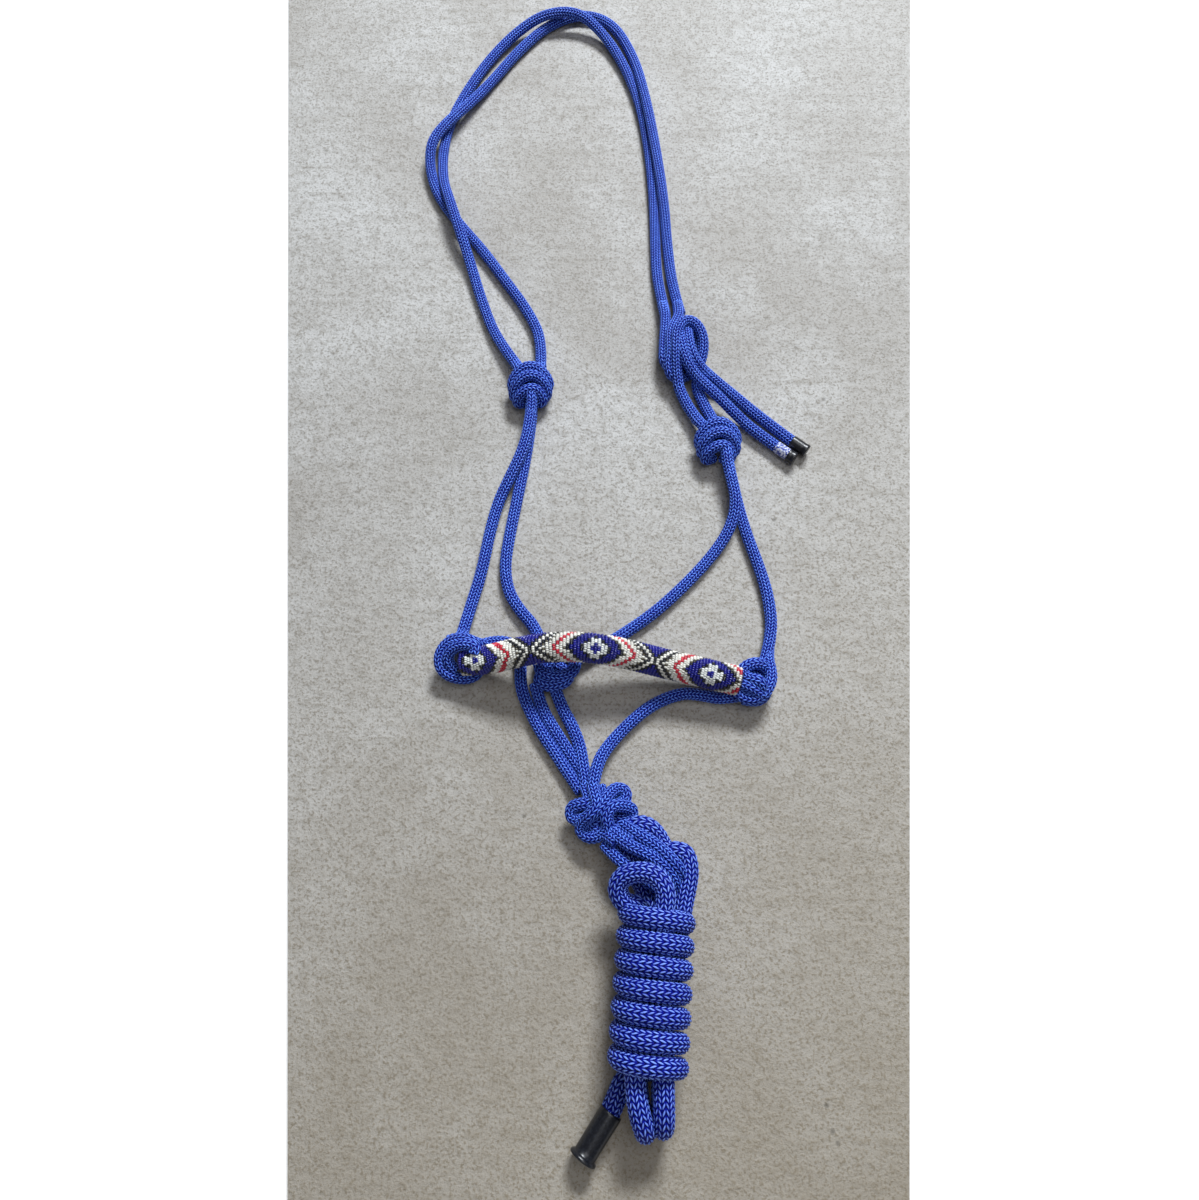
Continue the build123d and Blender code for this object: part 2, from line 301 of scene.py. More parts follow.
class Nodes:
    """A small helper that writes node maths."""

    def __init__(self, name):
        self.material = bpy.data.materials.new(name)
        self.material.use_nodes = True
        self.tree = self.material.node_tree
        self.shader = self.tree.nodes["Principled BSDF"]

    def new(self, kind, **inputs):
        node = self.tree.nodes.new(kind)
        for key, value in inputs.items():
            self.put(node.inputs[key], value)
        return node

    def put(self, socket, value):
        if isinstance(value, bpy.types.NodeSocket):
            self.tree.links.new(value, socket)
        else:
            socket.default_value = value

    def math(self, operation, *values):
        node = self.tree.nodes.new("ShaderNodeMath")
        node.operation = operation
        for socket, value in zip(node.inputs, values):
            self.put(socket, value)
        return node.outputs[0]

    def noise(self, scale, detail=2.0, roughness=0.5, vector=None):
        node = self.new("ShaderNodeTexNoise", Scale=scale, Detail=detail, Roughness=roughness)
        if vector is not None:
            self.put(node.inputs["Vector"], vector)
        return node.outputs["Fac"]

    def ramp(self, value, low, high):
        node = self.tree.nodes.new("ShaderNodeMapRange")
        node.interpolation_type = "SMOOTHSTEP"
        self.put(node.inputs["Value"], value)
        node.inputs["From Min"].default_value = low
        node.inputs["From Max"].default_value = high
        return node.outputs["Result"]

    def mix(self, factor, a, b):
        node = self.tree.nodes.new("ShaderNodeMix")
        node.data_type = "RGBA"
        self.put(node.inputs[0], factor)
        self.put(node.inputs[6], a)
        self.put(node.inputs[7], b)
        return node.outputs[2]

    def bump(self, height, distance, strength=1.0):
        node = self.tree.nodes.new("ShaderNodeBump")
        node.inputs["Strength"].default_value = strength
        node.inputs["Distance"].default_value = distance
        self.put(node.inputs["Height"], height)
        self.put(self.shader.inputs["Normal"], node.outputs["Normal"])


def rope_material(name, painted_gap_shade, mid, light, highlight_low=0.35, highlight_high=0.85):
    n = Nodes(name)
    uv = n.tree.nodes.new("ShaderNodeUVMap")
    uv.uv_map = "UVMap"
    split = n.new("ShaderNodeSeparateXYZ", Vector=uv.outputs["UV"])
    u, v = split.outputs["X"], split.outputs["Y"]
    column = n.math("FLOOR", u)
    x = n.math("SUBTRACT", n.math("FRACT", u), 0.5)
    odd = n.math("FLOORED_MODULO", column, 2.0)
    sign = n.math("SUBTRACT", 1.0, n.math("MULTIPLY", odd, 2.0))
    slanted = n.math("ADD", v, n.math("MULTIPLY", n.math("MULTIPLY", sign, x), SLANT))
    y = n.math("FRACT", slanted)
    yarn = n.math("FLOOR", slanted)
    lengthways = n.math("POWER", n.math("MAXIMUM", n.math("SINE", n.math("MULTIPLY", y, math.pi)), 0.0),
        0.8)
    across = n.math("SUBTRACT", 1.0, n.math("POWER", n.math("ABSOLUTE", n.math("MULTIPLY", x, 2.0)), 2.5))
    height = n.math("MULTIPLY", lengthways, n.math("ADD", 0.25, n.math("MULTIPLY", across, 0.75)))
    place = n.new("ShaderNodeCombineXYZ", X=column, Y=yarn)
    white = n.tree.nodes.new("ShaderNodeTexWhiteNoise")
    white.noise_dimensions = "2D"
    n.put(white.inputs["Vector"], place.outputs["Vector"])
    yarn_tone = white.outputs["Value"]
    # Painted highlight: the light colour is laid on the crowns of the yarns, where light catches them; its
    # strength follows the real tone of each yarn and its filaments
    crown_highlight = n.ramp(height, highlight_low, highlight_high)
    # Fine filaments run along each yarn
    filaments = n.new(
        "ShaderNodeCombineXYZ",
        X=n.math("MULTIPLY", n.math("SUBTRACT", x, n.math("MULTIPLY", n.math("MULTIPLY", sign, y), 0.4)),
        26.0),
        Y=n.math("MULTIPLY", y, 2.0), Z=column)
    thread = n.noise(1.0, 2.0, 0.6, filaments.outputs["Vector"])
    coat_coords = n.tree.nodes.new("ShaderNodeTexCoord")
    broad = n.noise(18.0, 3.0, 0.55, coat_coords.outputs["Object"])
    level = n.math("MULTIPLY", crown_highlight, n.math("ADD", 0.62, n.math("MULTIPLY", yarn_tone, 0.5)))
    level = n.math("MULTIPLY", level, n.math("ADD", 0.72, n.math("MULTIPLY", thread, 0.5)))
    level = n.math("MULTIPLY", level, n.math("ADD", 0.8, n.math("MULTIPLY", broad, 0.4)))
    # Painted shade: the dark colour fills the gaps between the yarns, where shade falls
    body = n.mix(n.ramp(height, 0.02, 0.5), painted_gap_shade, mid)
    colour = n.mix(level, body, light)
    n.put(n.shader.inputs["Base Color"], colour)
    n.put(n.shader.inputs["Roughness"], n.math("ADD", 0.38, n.math("MULTIPLY", thread, 0.25)))
    n.put(n.shader.inputs["Specular IOR Level"], n.math("ADD", 0.08, n.math("MULTIPLY", crown_highlight, 0.5)))
    n.shader.inputs["Sheen Weight"].default_value = 0.02
    n.shader.inputs["Sheen Roughness"].default_value = 0.4
    n.shader.inputs["Sheen Tint"].default_value = (0.35, 0.55, 1.0, 1.0)
    n.bump(n.math("ADD", n.math("MULTIPLY", thread, 0.3), height), 0.0006, 0.8)
    return n.material


def bead_material(name, colour, roughness=0.16, specks=0.0):
    n = Nodes(name)
    coords = n.tree.nodes.new("ShaderNodeTexCoord")
    tone = n.noise(240.0, 2.0, 0.5, coords.outputs["Object"])
    low = tuple(c * (0.72 - specks) for c in colour[:3]) + (1,)
    n.put(n.shader.inputs["Base Color"], n.mix(n.ramp(tone, 0.3, 0.7), low, colour))
    n.put(n.shader.inputs["Roughness"], n.math("ADD", roughness, n.math("MULTIPLY", tone, 0.12)))
    n.shader.inputs["Coat Weight"].default_value = 0.4
    n.shader.inputs["Coat Roughness"].default_value = 0.08
    return n.material


def cap_material():
    n = Nodes("cap_black")
    coords = n.tree.nodes.new("ShaderNodeTexCoord")
    scuffs = n.noise(900.0, 4.0, 0.7, coords.outputs["Object"])
    n.put(n.shader.inputs["Base Color"], n.mix(n.ramp(scuffs, 0.45, 0.75), (0.006, 0.0065, 0.009, 1), (
        0.02, 0.022, 0.03, 1)))
    n.put(n.shader.inputs["Roughness"], n.math("ADD", 0.2, n.math("MULTIPLY", scuffs, 0.22)))
    n.bump(scuffs, 0.00003, 0.4)
    return n.material


def fray_material():
    n = Nodes("frayed_yarn")
    coords = n.tree.nodes.new("ShaderNodeTexCoord")
    tone = n.noise(700.0, 3.0, 0.6, coords.outputs["Object"])
    n.put(n.shader.inputs["Base Color"], n.mix(n.ramp(tone, 0.42, 0.6), (0.02, 0.04, 0.3, 1), (0.75, 0.78,
        0.86, 1)))
    n.shader.inputs["Roughness"].default_value = 0.8
    return n.material


def floor_material():
    n = Nodes("concrete")
    coords = n.tree.nodes.new("ShaderNodeTexCoord")
    place = coords.outputs["Object"]
    broad = n.noise(3.2, 5.0, 0.6, place)
    cloud = n.noise(11.0, 6.0, 0.62, place)
    grain = n.noise(560.0, 4.0, 0.7, place)
    stretched = n.new("ShaderNodeMapping", Vector=place, Scale=(5.0, 60.0, 1.0))
    stretched.inputs["Rotation"].default_value = (0, 0, 0.08)
    trowel = n.noise(2.0, 4.0, 0.55, stretched.outputs["Vector"])
    fine = n.noise(150.0, 5.0, 0.7, place)
    split = n.new("ShaderNodeSeparateXYZ", Vector=place)
    # Painted warm shade: the floor turns darker and warmer towards the bottom right, where the light falls off;
    # the dark grain is also made stronger there
    painted_warm_shade = n.ramp(n.math("SUBTRACT", n.math("MULTIPLY", split.outputs["X"], 0.35), split.outputs["Y"]),
        -0.05, 0.62)
    base = n.mix(n.ramp(broad, 0.36, 0.64), (0.355, 0.335, 0.31, 1), (0.45, 0.438, 0.42, 1))
    base = n.mix(n.math("MULTIPLY", n.ramp(cloud, 0.42, 0.66), 0.6), base, (0.53, 0.525, 0.515, 1))
    base = n.mix(n.math("MULTIPLY", n.ramp(trowel, 0.5, 0.7), 0.24), base, (0.245, 0.225, 0.19, 1))
    base = n.mix(n.math("MULTIPLY", n.ramp(fine, 0.46, 0.66), 0.52), base, (0.245, 0.225, 0.195, 1))
    base = n.mix(n.math("MULTIPLY", n.ramp(grain, 0.5, 0.62),
        n.math("ADD", 0.66, n.math("MULTIPLY", painted_warm_shade, 0.3))), base, (0.17, 0.15, 0.12, 1))
    base = n.mix(n.math("MULTIPLY", painted_warm_shade, 0.58), base, (0.30, 0.245, 0.165, 1))
    spots = n.tree.nodes.new("ShaderNodeTexVoronoi")
    n.put(spots.inputs["Vector"], place)
    spots.inputs["Scale"].default_value = 42.0
    pits = n.math("MULTIPLY", n.math("SUBTRACT", 1.0, n.ramp(spots.outputs["Distance"], 0.03, 0.09)),
        n.ramp(cloud, 0.45, 0.6))
    base = n.mix(n.math("MULTIPLY", pits, 0.6), base, (0.10, 0.09, 0.07, 1))
    n.put(n.shader.inputs["Base Color"], base)
    n.put(n.shader.inputs["Roughness"], n.math("ADD", 0.55, n.math("MULTIPLY", cloud, 0.25)))
    n.bump(n.math("ADD", n.math("MULTIPLY", grain, 0.5),
        n.math("ADD", fine, n.math("MULTIPLY", cloud, 1.6))), 0.0016, 0.7)
    return n.material


# For each braid the first colour is painted shade for the gaps between yarns, and the third a painted highlight
# for the yarn crowns
HALTER = rope_material(
    "halter_braid", (0.0006, 0.0008, 0.03, 1), (0.002, 0.005, 0.25, 1), (0.12, 0.28, 1.0, 1), 0.54, 0.82)
LEAD = rope_material("lead_braid", (0.0006, 0.0008, 0.03, 1), (0.002, 0.006, 0.27, 1),
    (0.20, 0.35, 1.0, 1), 0.60, 0.90)
CAP = cap_material()
FRAY = fray_material()


HALTER_PITCH, HALTER_RELIEF, HALTER_COLUMNS = 0.0024, 0.0006, 12
LEAD_PITCH, LEAD_RELIEF = 0.0030, 0.0010


def halter_rope(name, points, twist=0.0, **more):
    return rope_object(
        name, points, HALTER_D, HALTER, HALTER_PITCH, HALTER_RELIEF, columns=HALTER_COLUMNS, twist=twist,
        **more)


# ---------------------------------------------------------------- strands

CHEEK_LINE = np.subtract(CHEEK_R[:2], CHEEK_L[:2]) / math.dist(CHEEK_R[:2], CHEEK_L[:2])


def square_to_cheeks(distance):
    """A point that far from the cheek hinge line, towards the crown."""
    return (CHEEK_L[0] * MM - CHEEK_LINE[1] * distance, CHEEK_L[1] * MM + CHEEK_LINE[0] * distance,
        CHEEK_L[2] * MM)


def strand(name, points, nodes, body=None, bend=None, twist=0.0,
        shown=()):
    """One free rope of the halter."""
    points = metres(points)
    obj, centre, length = halter_rope(name, points, twist)
    if bend:
        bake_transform(obj)
    else:
        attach(obj, body)
    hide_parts(*nodes)
    return obj


to_crown = ("face", "crown", square_to_cheeks(0.010), square_to_cheeks(0.045))
strand("crown_rope_outer", CROWN_OUTER, ["crown_strand_outer"], bend=to_crown, twist=9)
strand("crown_rope_inner", CROWN_INNER, ["crown_strand_inner"], bend=to_crown, twist=-7)
strand("cheek_rope_left", CHEEK_LEFT, ["cheek_strand_left"], "face", twist=8)
strand("throat_rope_left", THROAT_LEFT, ["throat_strand_left"], "face", twist=-9)
strand("cheek_rope_right", CHEEK_RIGHT, ["cheek_strand_right"], "face", twist=10)
strand("throat_rope_right", THROAT_RIGHT, ["throat_strand_right"], "face", twist=-6)
strand("chin_rope_left", CHIN_LEFT, ["chin_lead_in_left", "chin_strand_left"],
       bend=("face", "chin", (-0.057, -0.207, 0.004), (-0.055, -0.247, 0.004)), twist=7)
strand("chin_rope_right", CHIN_RIGHT, ["chin_lead_in_right", "chin_strand_right"],
       bend=("face", "chin", (0.050, -0.228, 0.004), (0.030, -0.262, 0.004)), twist=-8)
strand("throat_drop_rope_left", THROAT_DROP_LEFT, ["throat_drop_left"],
       bend=("face", "chin", (-0.041, -0.222, 0.004), (-0.038, -0.255, 0.004)), twist=6)
strand("throat_drop_rope_right", THROAT_DROP_RIGHT, ["throat_drop_right"],
       bend=("face", "chin", (-0.034, -0.222, 0.004), (-0.031, -0.255, 0.004)), twist=-6)
to_lead = ("chin", "lead", (0.008, -0.316, 0.012), (0.028, -0.330, 0.012))
strand("lead_loop_rope_upper", LEAD_LOOP_UPPER, ["lead_loop_upper"], bend=to_lead, twist=5)
strand("lead_loop_rope_lower", LEAD_LOOP_LOWER, ["lead_loop_lower"], bend=to_lead, twist=-5)

for name, route, node in (("tie_loop_rope_left", TIE_LOOP_LEFT, "tie_loop_left"),
                          ("tie_loop_rope_right", TIE_LOOP_RIGHT, "tie_loop_right")):
    leg, _, _ = halter_rope(name, metres(route))
    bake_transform(leg)
    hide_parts(node)


# ---------------------------------------------------------------- end caps

def end_cap(name, node, body, origin, direction, length, radius, flare, material=CAP):
    """A moulded cap: a sleeve with a slight draft, a flared lip and a domed end."""
    profile = [(0.0, radius * 0.90), (0.0, radius), (0.0004, radius * 1.04), (0.0012, radius * 1.05)]
    for k in range(1, 9):
        share = k / 8
        profile.append((0.0012 + share * (length - 0.0042), radius * (1.05 - 0.03 * share)))
    profile += [
        (length - 0.0026, radius * 1.03 + flare * 0.35), (length - 0.0018, radius * 1.03 + flare * 0.85),
        (length - 0.0010, radius * 1.03 + flare), (length - 0.0004, radius * 1.02 + flare * 0.9),
        (length - 0.0001, radius * 0.97 + flare * 0.6), (length, radius * 0.8),
        (length + 0.0001, radius * 0.3),
        (length + 0.0001, radius * 0.02),
    ]
    cap = lathe_object(name, [c * MM for c in origin], direction, profile, material)
    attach(cap, body)
    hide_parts(node)
    return cap


cap_upper = end_cap("tail_end_cap_upper", "tail_cap_upper", "crown", (127.5, -54.2, 5.2), (1, -0.78, 0),
    0.0128, 0.0043, 0.0002)
cap_lower = end_cap("tail_end_cap_lower", "tail_cap_lower", "crown", (124.2, -64.5, 5.2), (1, -0.73, 0),
    0.0058, 0.0043, 0.0002)
cap_lead = end_cap("lead_end_cap", "lead_cap", "lead", (0.5, -466, 8.2), (-0.571, -0.82, 0), 0.028, 0.0064,
    0.0016)
strand("tail_rope_upper", TAIL_UPPER, ["tail_upper"], "crown",
    twist=5)
strand("tail_rope_lower", TAIL_LOWER, ["tail_lower"], "crown",
    twist=-5)


fray, _, _ = rope_object("tail_rope_frayed_end",
    metres([(116.5, -58, 4.7), (120.5, -61.4, 4.9), (125, -65, 5.2)]), 0.0086, FRAY,
                         0.0011, 0.0006, sides=40, step=0.0003)
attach(fray, "crown")


# ---------------------------------------------------------------- knots

def knot(name, node, body, centre, paths, turn=0.0, scale=1.0):
    """A knot: its rope's turns as listed lines around the knot's centre, joined into one piece."""
    c, s = math.cos(math.radians(turn)), math.sin(math.radians(turn))
    parts = []
    for index, path in enumerate(paths):
        placed = [((x * c - y * s) * scale, (x * s + y * c) * scale, z) for x, y, z in path]
        part, _, _ = halter_rope(f"{name}_{index}", metres(placed, centre), twist=4 * (-1) ** index,
            sides=56)
        parts.append(part)
    for part in parts:
        part.select_set(True)
    bpy.context.view_layer.objects.active = parts[0]
    with bpy.context.temp_override(active_object=parts[0], selected_editable_objects=parts,
        selected_objects=parts):
        bpy.ops.object.join()
    whole = parts[0]
    whole.name = name
    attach(whole, body)
    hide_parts(node)
    return whole


# Two wraps side by side over the strands, a smaller one below them, and the turns hidden beneath
CHEEK_WRAPS = [
    [(-6, -2, 4.5), (-13, -3, 6.5), (-13.5, 3, 12), (-6, 10, 17.5), (3, 11, 18), (11, 5, 14), (13, -1, 8),
     (6, -4, 4.5)],
    [(-5, -8, 4.5), (-12, -9, 7), (-12, -5, 13), (-6, 1.5, 19), (3, 3, 20), (10, -1.5, 15.5), (12, -8, 8),
     (5, -9, 4.5)],
    [(-3, -9, 4.5), (-9, -13, 6.5), (-9.5, -11, 11), (-4, -7, 16), (3, -5.5, 16.5), (8, -9, 12), (8, -13, 7),
     (2, -9, 4.5)],
    [(-9, 4, 6), (-4, -2, 8), (4, -4, 8), (9, 2, 6)],
    [(-8, 9, 7), (0, 5, 10), (8, 8, 7)],
]
CHEEK_ENDS_LEFT = [
    [(-12, 20, 8), (-9.5, 15, 9), (-7, 8, 11), (-3, 2, 11)],
    [(6.5, 19, 7), (6.2, 13, 8), (4, 6, 10), (0, 0, 11)],
    [(0, -2, 13), (0.5, -9, 15.5), (1, -17, 13), (0, -24, 12.4)],
]
CHEEK_ENDS_RIGHT = [
    [(-15, 20, 7), (-12, 14.5, 9.5), (-7, 8, 11), (-2, 2, 11)],
    [(-2, 15, 9), (0, 8, 10), (2, 1, 11)],
    [(3, -2, 13), (4.5, -10, 15.5), (5, -19, 13.5), (7, -28, 12.6)],
]
knot("cheek_knot_rope_left", "cheek_knot_left", "face", CHEEK_L, CHEEK_WRAPS + CHEEK_ENDS_LEFT)
knot("cheek_knot_rope_right", "cheek_knot_right", "face", CHEEK_R, CHEEK_WRAPS + CHEEK_ENDS_RIGHT)
BEND_TURNS = [
    [(-14, 46, 6.6), (-12, 36, 8.5), (-12.5, 25, 10), (-13.5, 13, 11), (-14, 3, 12), (-14.5, -5, 11),
     (-10, -10, 8), (-3, -9, 5), (4, -6, 5), (9, -1, 6)],
    [(-3, 46, 6.6), (-2, 36, 9), (-4, 28, 12), (-8.5, 19, 15), (-10, 9, 16), (-9.5, -1, 16), (-11.5, -11, 13),
     (-9, -17.5, 10), (-2, -16, 6), (6, -12, 5), (11, -8, 6)],
    [(-4, -25, 9), (-5.5, -16, 13), (-6, -6, 18), (-6, 4, 21), (-5, 14, 21.5), (0, 21.5, 21), (7.5, 21, 20),
     (13.2, 13, 17), (14, 2, 13), (11, -8, 9), (9, -16, 7.5), (9, -25, 7)],
    [(-3, 22, 8), (3, 23, 9), (8, 19.5, 9), (10.5, 11, 10), (9.5, 0, 9), (7, -8, 7), (8, -14, 5)],
    [(2, 22, 10), (2.5, 18, 15.5), (2.5, 9, 20), (3.5, -1, 20.5), (6.5, -8, 17.5), (12, -12, 12), (18, -16, 9)],
    [(-3.5, 21, 10), (-3, 16, 16), (-2.5, 6, 20.5), (-1, -5, 20.5), (3, -14, 17.5), (10, -21, 12.3),
     (17, -28, 12)],
]
knot("sheet_bend_rope", "sheet_bend_knot", "crown", BEND, BEND_TURNS)
NOSE_LEFT_TURNS = [
    [(2.5, 18, 7), (1, 12, 10), (2, 8, 14), (7, 5, 15), (12, 4, 9)],
    [(14, 2, 8), (14.5, 4, 18), (11, 7, 21), (4, 9.5, 20), (-5, 8, 17), (-11, 1, 14), (-10.5, -8, 11),
     (-3, -13, 8), (7, -13, 5.5), (13, -9, 4.2), (15, -2, 4.2)],
    [(12, -2, 22), (13.5, 3, 22.5), (8, 5, 23), (1, 4.5, 21), (-5, 1, 17), (-6, -5, 13), (-1, -8.5, 9)],
    [(-6, 9, 14), (-1, 11, 14), (5, 11, 14), (12, 8, 12), (18, 8, 7)],
]
knot("nose_knot_rope_left", "nose_knot_left", "face", NOSE_L, NOSE_LEFT_TURNS)
NOSE_RIGHT_TURNS = [
    [(12.5, 24, 5), (11, 16, 8), (12, 7, 12), (11, -1, 14), (6, -8, 14), (-1, -11.5, 13), (-8, -9, 12.5),
     (-10.5, -3, 13), (-7, 1, 15)],
    [(11, 6, 7), (8, 10, 13), (2, 11.5, 17), (-5, 9, 17), (-7.5, 4.5, 16), (-3, 0.5, 18.5), (2.5, -0.5, 20),
     (5.5, -4, 17), (1, -7, 14), (-6, -5, 12)],
    [(-6, -9, 6), (2, -11, 5), (9, -7, 5), (10, 1, 6), (5, 8, 7), (-3, 8, 8), (-6, 2, 8), (0, -2, 9)],
    [(-11, 0, 15), (-5, -2.5, 17.5), (1, -6, 17.5), (5, -8.5, 14)],
]
knot("nose_knot_rope_right", "nose_knot_right", "face", NOSE_R, NOSE_RIGHT_TURNS)
THROAT_TURNS = [
    [(-2, 12, 6), (-9, 6, 6), (-8, -3, 8), (-1, -7.5, 10.5), (7, -7.5, 10.5), (13.5, -4, 9.5), (15, 2, 8),
     (11, 7, 6.5), (4, 8, 5), (-3, 6, 4.5)],
    [(4, 9, 8), (0, 3, 6), (-6, -4, 5), (-9, -9.5, 7), (-4, -13, 9), (3, -13, 9.5), (9, -10, 8), (11, -5, 6),
     (6, 0, 4.5), (0, 3, 4.5)],
]
knot("throat_knot_rope", "throat_knot", "face", THROAT, THROAT_TURNS)
FIADOR_TURNS = [
    [(-10, 16, 9), (-8, 12, 13), (-6.5, 5.5, 16.5), (-12, 5, 15.5), (-18, 3.5, 12), (-18, -3, 10.5),
     (-12, -4.3, 13), (-6, -2.5, 17.5), (-1, 2.5, 20), (2.5, 7.5, 18.5), (5, 11, 16), (9, 14.6, 13),
     (14.5, 13.5, 11.5), (15, 8, 12), (10, 4.8, 12.5), (3, 2, 9)],
    [(-5, 15, 15), (-4, 10, 18.5), (-2, 3.5, 20.5), (-6, -1.5, 19.5), (-11.5, -5, 14), (-12.5, -10.5, 10.5),
     (-7, -14.5, 11.5), (0, -13.2, 13.5), (4.5, -8, 17.5), (2.5, -2.5, 20), (6.5, 3.5, 20.5),
     (12.5, 4, 17.5), (18.8, 2.5, 12.5), (18, -3.2, 10.5), (8.5, -4.8, 12.5), (3, -2, 8)],
    [(-1, 16, 10), (2, 8, 12), (4, 1, 14), (0, -5, 14), (-7, -7, 9), (-15, 0, 8), (-6, 7, 7), (5, 10, 8),
     (12, 9, 8), (14, 1, 8), (8, -6, 6), (0, -9, 4.5), (-8, -3, 4.5)],
    [(-4, -4, 8), (3, -8, 11), (8, -10, 14.5), (12, -12.5, 18), (18, -17, 22.5)],
    [(-6, -6, 10), (-1, -11, 13), (4, -13, 16), (9, -17, 20)],
]
knot("fiador_knot_rope", "fiador_knot", "chin", FIADOR, FIADOR_TURNS)


# ---------------------------------------------------------------- lead rope

def turn_points():
    """Control points of the turns: widened so that the smooth line keeps the turn's true size.

    The last turn ends at the bottom, where the tail leaves it.
    """
    points = []
    for step in range(TURNS * TURN_POINTS - 1):
        share = step / TURN_POINTS
        angle = math.radians(TURN_FIRST_ANGLE) - 2 * math.pi * share
        travel = share - 0.5 / TURN_POINTS
        x = TURN_START[0] - TURN_LEAN * TURN_PITCH * travel + TURN_HALF_WIDTH * TURN_WIDEN * math.cos(angle)
        y = TURN_START[1] - TURN_PITCH * share
        z = TURN_LIFT + TURN_HALF_HEIGHT * TURN_WIDEN * math.sin(angle)
        points.append((x, y, z))
    return points


lead_points = metres(LEAD_BEFORE_TURNS + turn_points() + LEAD_AFTER_TURNS)
lead, lead_line, lead_length = rope_object(
    "lead_rope_whole", lead_points, LEAD_D, LEAD, LEAD_PITCH, LEAD_RELIEF, sides=48, step=0.00092, twist=-3)
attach(lead, "lead")
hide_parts("lead_eye", "lead_curl", "lead_hank", "lead_bights", "lead_tail")
print("lead length", round(lead_length, 4))


# ---------------------------------------------------------------- beaded noseband

BEADS_ROUND = 40
BEAD_ALONG = 0.00196
BEAD_R = 0.00104
PERIOD = 0.0745
DIAMOND_ROUND = 0.040
VISIBLE = (0.0, -0.264, 0.965)
BEAD_COLOURS = {
    "white": (0.90, 0.88, 0.80, 1), "cobalt": (0.008, 0.010, 0.26, 1), "red": (0.62, 0.020, 0.045, 1),
    "black": (0.006, 0.006, 0.009, 1), "bronze": (0.10, 0.085, 0.05, 1), "mint": (0.88, 0.90, 0.87, 1),
}
BEAD_ORDER = list(BEAD_COLOURS)


def bead_colour(along, round_, row, place):
    """Argyle of nested diamonds along the seen line, with cobalt triangles where two of them meet."""
    half = PERIOD / 2
    a = (along + half) % PERIOD - half
    d = abs(a) / half + abs(round_) / DIAMOND_ROUND
    petal = abs(a) / 0.0072, abs(round_) / 0.0062
    if d > 0.07 and (sum(petal) < 1.0 or (min(petal) < 0.42 and max(petal) < 1.0)):
        return "mint"
    if d > 0.07 and sum(petal) < 1.42:
        return "black"
    spot = abs(abs(a) - half) / 0.0052 + abs(round_ - 0.0165) / 0.0045
    for limit, name in ((0.42, "cobalt"), (0.465, "black"),
                        (0.505, "bronze" if (row + place) % 2 else "white"), (0.60, "white"),
                        (0.69, "red"), (0.80, "white"),
                        (0.86, "bronze" if (row + place) % 2 else "white"), (0.92, "black"),
                        (1.0, "white"), (1.06, "black")):
        if d < limit:
            return name
    return "mint" if spot < 1 else "cobalt"


def bead_barrel():
    """Outward part of one bead: rings across its hole axis. Columns: across, round, out."""
    shape = []
    for across, size in ((-0.5, 0.62), (-0.32, 0.93), (0.0, 1.0), (0.32, 0.93), (0.5, 0.62)):
        for k in range(7):
            angle = math.radians(-20 + 220 * k / 6)
            shape.append((across, math.cos(angle) * size, math.sin(angle) * size))
    return np.array(shape)


def beaded_band():
    line = nurbs_line(metres(NOSEBAND))
    centre, along = even_line(line, BEAD_ALONG)
    tangents = np.gradient(centre, axis=0)
    tangents /= np.linalg.norm(tangents, axis=1)[:, None]
    out = np.array(VISIBLE) - tangents * (tangents @ np.array(VISIBLE))[:, None]
    out /= np.linalg.norm(out, axis=1)[:, None]
    side = np.cross(tangents, out)
    middle = along[np.argmin(np.abs(centre[:, 0] - -0.010))]
    barrel = bead_barrel()
    rng = np.random.default_rng(11)
    width = 2 * math.pi * (BAND_D / 2 - BEAD_R) / BEADS_ROUND
    verts, faces, kinds = [], [], []
    pattern = []
    for ring in range(4):
        for k in range(6):
            a = ring * 7 + k
            pattern.append((a, a + 1, a + 8, a + 7))
    pattern = np.array(pattern)
    for row in range(1, len(centre) - 1):
        for place in range(BEADS_ROUND):
            turn = (place + 0.5 * (row % 2)) / BEADS_ROUND
            turn = (turn + 0.5) % 1 - 0.5
            angle = 2 * math.pi * turn + rng.normal(0, 0.006)
            radial = out[row] * math.cos(angle) + side[row] * math.sin(angle)
            round_way = side[row] * math.cos(angle) - out[row] * math.sin(angle)
            size = BEAD_R * rng.normal(1.0, 0.03)
            origin = centre[row] + radial * (BAND_D / 2 - BEAD_R + rng.normal(0, 0.00005))
            origin = origin + tangents[row] * rng.normal(0, 0.00006)
            shape = (origin + barrel[:, :1] * width * 0.97 * round_way + barrel[:,
                1:2] * size * tangents[row]
                     + barrel[:, 2:3] * size * radial)
            base = len(verts) * 35
            verts.append(shape)
            faces.append(pattern + base)
            name = bead_colour(along[row] - middle, turn * math.pi * 0.0172, row, place)
            kinds += [BEAD_ORDER.index(name)] * 24
    mesh = bpy.data.meshes.new("bead_band")
    mesh.from_pydata(np.concatenate(verts).tolist(), [], [tuple(f) for f in np.concatenate(faces).tolist()])
    mesh.polygons.foreach_set("use_smooth", [True] * len(mesh.polygons))
    obj = add_object("bead_band", mesh, *[bead_material("bead_" + k, BEAD_COLOURS[k]) for k in BEAD_ORDER])
    mesh.polygons.foreach_set("material_index", kinds)
    mesh.update()
    return obj


band = beaded_band()
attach(band, "face")
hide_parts("bead_sleeve")
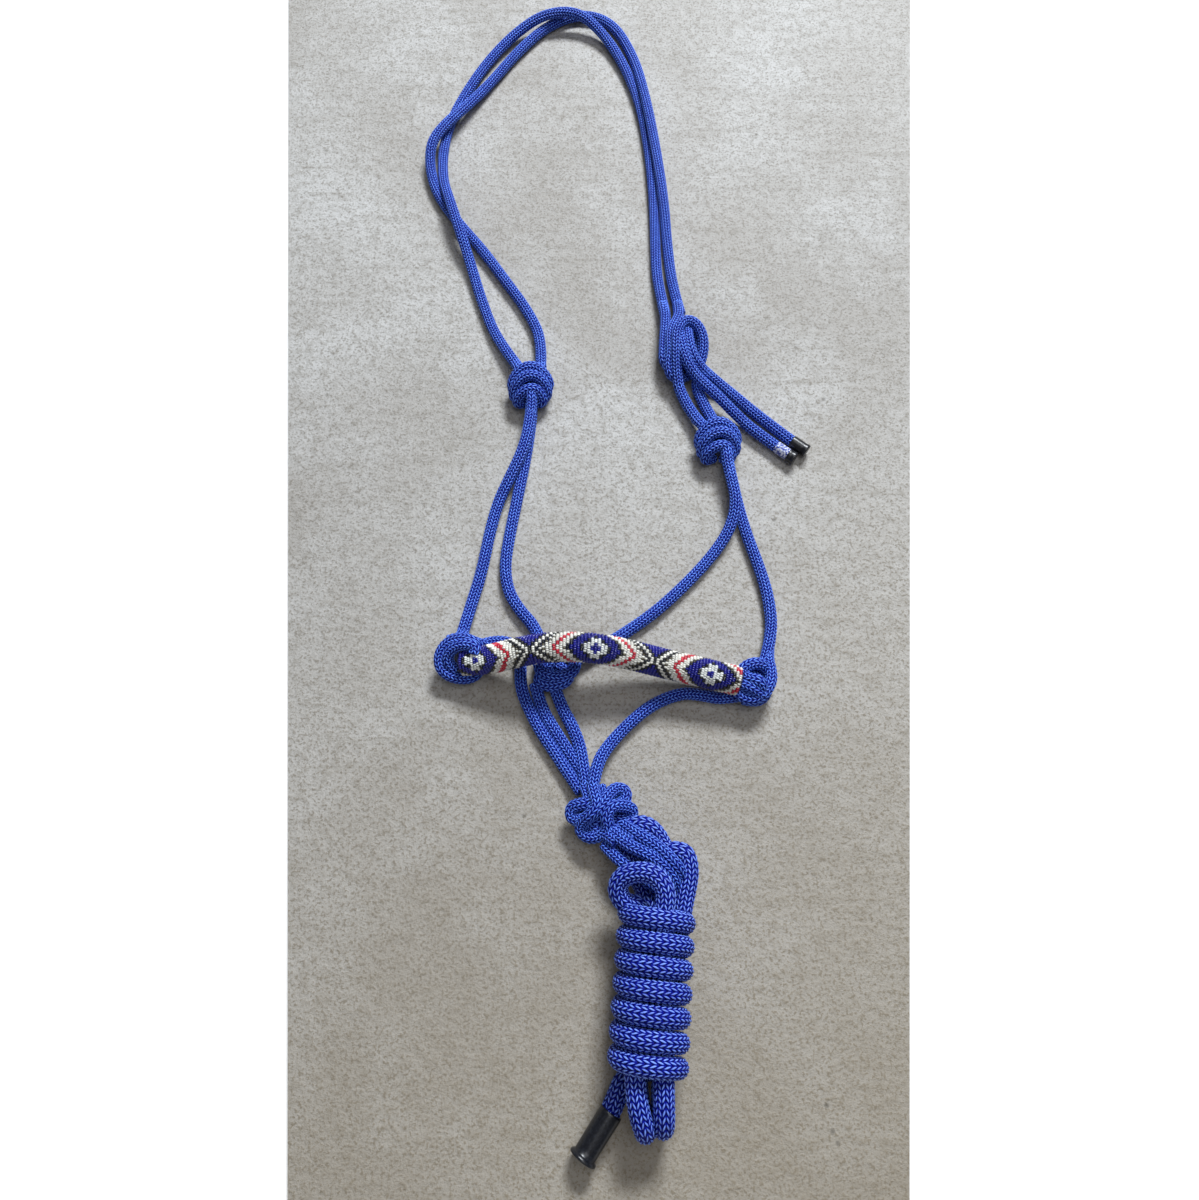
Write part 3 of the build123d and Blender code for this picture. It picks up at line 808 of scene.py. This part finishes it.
# Same painted gap shade and painted yarn-crown highlight as the braids
core_material = rope_material("thread_core", (0.004, 0.005, 0.03, 1), (0.02, 0.025, 0.09, 1),
    (0.06, 0.07, 0.2, 1))
core, _, _ = rope_object("noseband_core", metres(NOSEBAND), 0.0168, core_material, 0.002, 0.0003, sides=48,
    step=0.001)
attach(core, "face")
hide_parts("noseband_rope_front", "noseband_rope_rear")


# ---------------------------------------------------------------- floor, light and camera

CAMERA_AT = (-0.006, -0.357, 0.563)
PITCH = math.radians(18.5)


def flat_object(name, corners, z, material):
    mesh = bpy.data.meshes.new(name)
    mesh.from_pydata([(x, y, z) for x, y in corners], [], [tuple(range(len(corners)))])
    obj = add_object(name, mesh, material)
    return obj


PAGE = 12.0               # half the width of the white page that the floor lies on
PAGE_Z, FLOOR_Z = -0.004, -0.0004
FLOOR_NEAR_Y, FLOOR_FAR_Y = -0.55, 0.515
FLOOR_NEAR_X = -0.17, 0.157
FLOOR_FAR_X = -0.286, 0.274
floor_corners = [
    (FLOOR_NEAR_X[0], FLOOR_NEAR_Y),
    (FLOOR_NEAR_X[1], FLOOR_NEAR_Y),
    (FLOOR_FAR_X[1], FLOOR_FAR_Y),
    (FLOOR_FAR_X[0], FLOOR_FAR_Y),
]
flat_object("concrete_floor", floor_corners, FLOOR_Z, floor_material())

page = Nodes("white_page")
page.shader.inputs["Base Color"].default_value = (0.75, 0.75, 0.75, 1)
page.shader.inputs["Roughness"].default_value = 1.0
page.shader.inputs["Emission Color"].default_value = (1, 1, 1, 1)
page.shader.inputs["Emission Strength"].default_value = 0.38
flat_object("white_page", [(-PAGE, -PAGE), (PAGE, -PAGE), (PAGE, PAGE), (-PAGE, PAGE)], PAGE_Z,
    page.material)


def area_light(name, location, target, size, power, colour):
    data = bpy.data.lights.new(name, "AREA")
    data.shape = "RECTANGLE"
    data.size, data.size_y = size
    data.energy = power
    data.color = colour
    light = bpy.data.objects.new(name, data)
    light.location = location
    light.rotation_euler = (Vector(target) - Vector(location)).to_track_quat("-Z", "Y").to_euler()
    bpy.context.scene.collection.objects.link(light)


area_light("window", (0.60, 1.70, 1.90), (0, -0.05, 0), (0.9, 0.5), 106, (0.90, 0.95, 1.0))
area_light("sky", (0.3, -0.1, 1.9), (0, -0.1, 0), (1.2, 1.2), 10, (0.97, 0.98, 1.0))
area_light("fill", (-0.2, -1.5, 1.0), (0, -0.2, 0), (1.2, 1.2), 2.5, (1.0, 0.93, 0.82))

world = bpy.data.worlds.new("room")
bpy.context.scene.world = world
world.use_nodes = True
world.node_tree.nodes["Background"].inputs["Color"].default_value = (0.80, 0.88, 1.0, 1)
world.node_tree.nodes["Background"].inputs["Strength"].default_value = 0.10

bpy.context.scene.view_settings.view_transform = "Standard"
camera_data = bpy.data.cameras.new("camera")
camera_data.sensor_width = 36
camera_data.lens = 27
camera = bpy.data.objects.new("camera", camera_data)
camera.location = CAMERA_AT
camera.rotation_euler = (PITCH, 0, 0)
bpy.context.scene.collection.objects.link(camera)
bpy.context.scene.camera = camera
